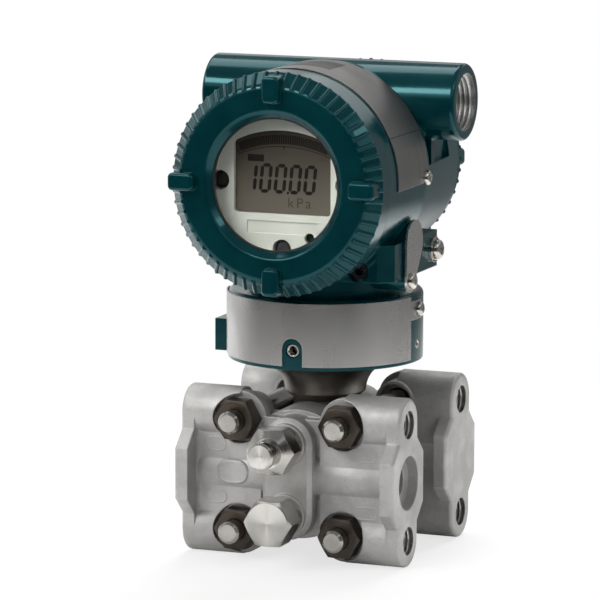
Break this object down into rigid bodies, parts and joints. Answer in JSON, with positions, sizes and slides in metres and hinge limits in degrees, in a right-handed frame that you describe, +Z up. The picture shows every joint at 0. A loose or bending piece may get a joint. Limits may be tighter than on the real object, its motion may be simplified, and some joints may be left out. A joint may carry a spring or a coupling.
{
  "type": "gauge pressure transmitter",
  "caption": "Field pressure transmitter: round painted housing with screw-on window and rear covers and a digital display, on a swivelling base ring over two bolted stainless process flanges.",
  "frame": {"origin": "middle of the bounding box at the level of the flange ears the part stands on", "axes": "+Z up, -Y towards the display, +X towards the process port and the conduit entry"},
  "size_m": [0.0954, 0.1142, 0.1744],
  "materials": {
    "cast_steel": "blasted cast stainless steel",
    "capsule_steel": "machined stainless steel",
    "band_steel": "brushed stainless sheet",
    "plug_steel": "turned stainless steel",
    "screw_steel": "plated steel screws",
    "dark_steel": "blackened steel",
    "foil_steel": "thin stainless foil",
    "green_paint": "deep green gloss paint on cast aluminium",
    "bare_cast": "bare metal",
    "pale_plastic": "moulded plastic",
    "black_plastic": "moulded plastic",
    "board": "circuit board",
    "lcd": "display glass",
    "window": "clear window glass",
    "rubber": "seal rubber",
    "gasket": "white gasket",
    "ribbon": "flat lead"
  },
  "bodies": {
    "process_end": {"front_flange": "cast_steel", "rear_flange": "cast_steel", "capsule": "capsule_steel", "front_diaphragm": "foil_steel", "rear_diaphragm": "foil_steel", "front_gasket": "gasket", "rear_gasket": "gasket", "flange_bolts": "plug_steel", "flange_nuts": "dark_steel", "vent_plug": "plug_steel", "drain_plug": "plug_steel", "breather_plug": "plug_steel", "sensor_cell": "foil_steel", "sensor_header": "black_plastic", "swivel_seal": "rubber"},
    "vent_needle": {"vent_needle": "plug_steel"},
    "vent_screw": {"vent_screw": "plug_steel"},
    "front_seal": {"front_cover_seal": "rubber"},
    "front_cover": {"front_cover": "green_paint", "window_glass": "window", "window_gasket": "rubber", "window_retainer": "bare_cast"},
    "rear_seal": {"rear_cover_seal": "rubber"},
    "rear_cover": {"rear_cover": "green_paint"},
    "zero_cover": {"zero_cover": "band_steel"},
    "zero_screw": {"zero_screw": "plug_steel"},
    "housing": {"housing": "green_paint", "name_band": "band_steel", "name_band_screws": "screw_steel", "data_band": "band_steel", "data_band_screws": "screw_steel", "swivel_set_screws": "dark_steel", "ribbon_cable": "ribbon", "amplifier_case": "black_plastic", "amplifier_board": "board", "display_board": "board", "lcd_panel": "lcd", "display_bezel": "pale_plastic", "display_screws": "screw_steel", "terminal_block": "black_plastic", "terminal_screws": "screw_steel", "blanking_plug": "bare_cast", "ground_screw": "screw_steel", "ground_washer": "screw_steel", "cover_lock_bolt": "dark_steel", "zero_cover_screw": "screw_steel"}
  },
  "joints": [
    {"name": "housing_swivel", "type": "hinge", "parent": "process_end", "child": "housing", "pos_m": [0, 0.0052, 0.074], "axis": [0, 0, 1], "range_deg": [-180, 180]},
    {"name": "front_cover_draw", "type": "slide", "parent": "housing", "child": "front_seal", "axis": [0, -1, 0], "range_m": [0, 0.0076]},
    {"name": "front_cover_turn", "type": "hinge", "parent": "front_seal", "child": "front_cover", "pos_m": [0, -0.0398, 0.13506], "axis": [0, -1, 0], "range_deg": [0, 1800]},
    {"name": "rear_cover_draw", "type": "slide", "parent": "housing", "child": "rear_seal", "axis": [0, 1, 0], "range_m": [0, 0.0076]},
    {"name": "rear_cover_turn", "type": "hinge", "parent": "rear_seal", "child": "rear_cover", "pos_m": [0, 0.0492, 0.13506], "axis": [0, 1, 0], "range_deg": [0, 1800]},
    {"name": "zero_cover_swing", "type": "hinge", "parent": "housing", "child": "zero_cover", "pos_m": [0.0365, -0.0077, 0.0989], "axis": [1, 0, 0], "range_deg": [0, 95]},
    {"name": "zero_screw_turn", "type": "hinge", "parent": "housing", "child": "zero_screw", "pos_m": [0.033, -0.0038, 0.112], "axis": [1, 0, 0], "continuous": true},
    {"name": "vent_draw", "type": "slide", "parent": "process_end", "child": "vent_needle", "axis": [0, -1, 0], "range_m": [0, 0.003]},
    {"name": "vent_turn", "type": "hinge", "parent": "vent_needle", "child": "vent_screw", "pos_m": [0, -0.0528, 0.04245], "axis": [0, -1, 0], "range_deg": [0, 720]}
  ],
  "couplings": [
    {"joint": "front_cover_draw", "follows": "front_cover_turn", "m_per_rad": 0.00023873},
    {"joint": "rear_cover_draw", "follows": "rear_cover_turn", "m_per_rad": 0.00023873},
    {"joint": "vent_turn", "follows": "vent_draw", "rad_per_m": 4188.8}
  ]
}
